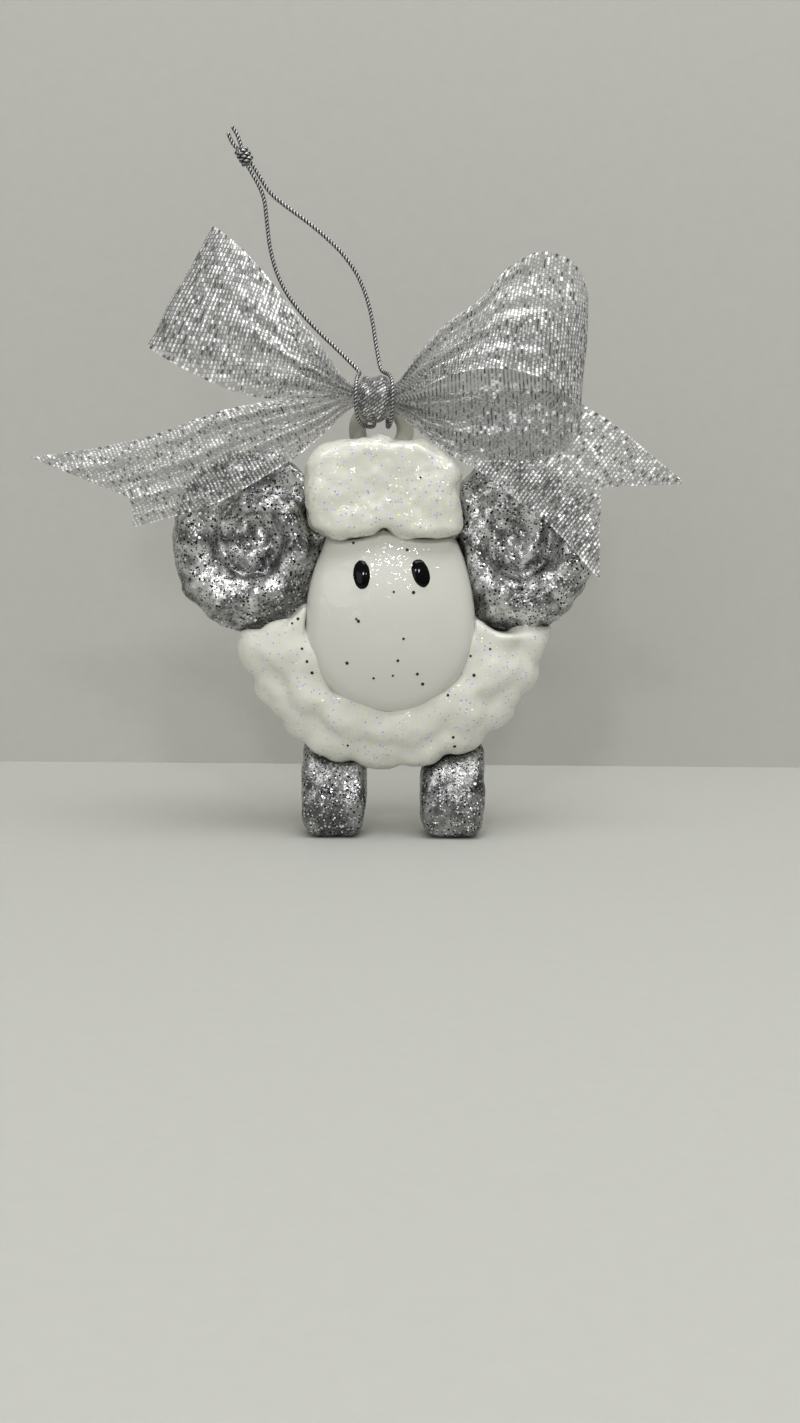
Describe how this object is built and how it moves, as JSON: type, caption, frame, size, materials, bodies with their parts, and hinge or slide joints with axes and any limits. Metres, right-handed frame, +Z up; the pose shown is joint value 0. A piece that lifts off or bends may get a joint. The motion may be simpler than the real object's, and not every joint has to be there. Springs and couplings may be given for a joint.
{
  "type": "sheep figurine ornament",
  "caption": "Flat-backed standing ram ornament with curled horns, scalloped fleece, a cord loop through its top tab and a ribbon bow.",
  "frame": {"origin": "on the floor midway between the soles of the feet", "axes": "+Z up, -Y towards the viewer (the painted front), +X to the viewer's right, +Y out of the flat back"},
  "size_m": [0.1569, 0.0238, 0.1703],
  "materials": {
    "fleece": "gloss",
    "face": "gloss",
    "silver_paint": "satin",
    "tab": "satin",
    "eye_paint": "gloss",
    "cord": "satin",
    "ribbon": "satin"
  },
  "bodies": {
    "figure": {"fleece_body": "fleece", "head": "face", "wool_cap": "fleece", "left_horn": "silver_paint", "right_horn": "silver_paint", "left_foot": "silver_paint", "right_foot": "silver_paint", "hanging_tab": "tab", "left_eye": "eye_paint", "right_eye": "eye_paint"},
    "hanger": {"cord_hitch": "cord", "cord_left_leg": "cord", "cord_right_leg": "cord", "cord_end_knot": "cord", "bow_knot": "ribbon", "bow_left_loop": "ribbon", "bow_right_loop": "ribbon", "bow_left_tail": "ribbon", "bow_right_tail": "ribbon"}
  },
  "joints": [
    {"name": "hanger_swing", "type": "hinge", "parent": "figure", "child": "hanger", "pos_m": [-0.0029, 0.0032, 0.10608], "axis": [1, 0, 0], "range_deg": [-150, 0]}
  ]
}
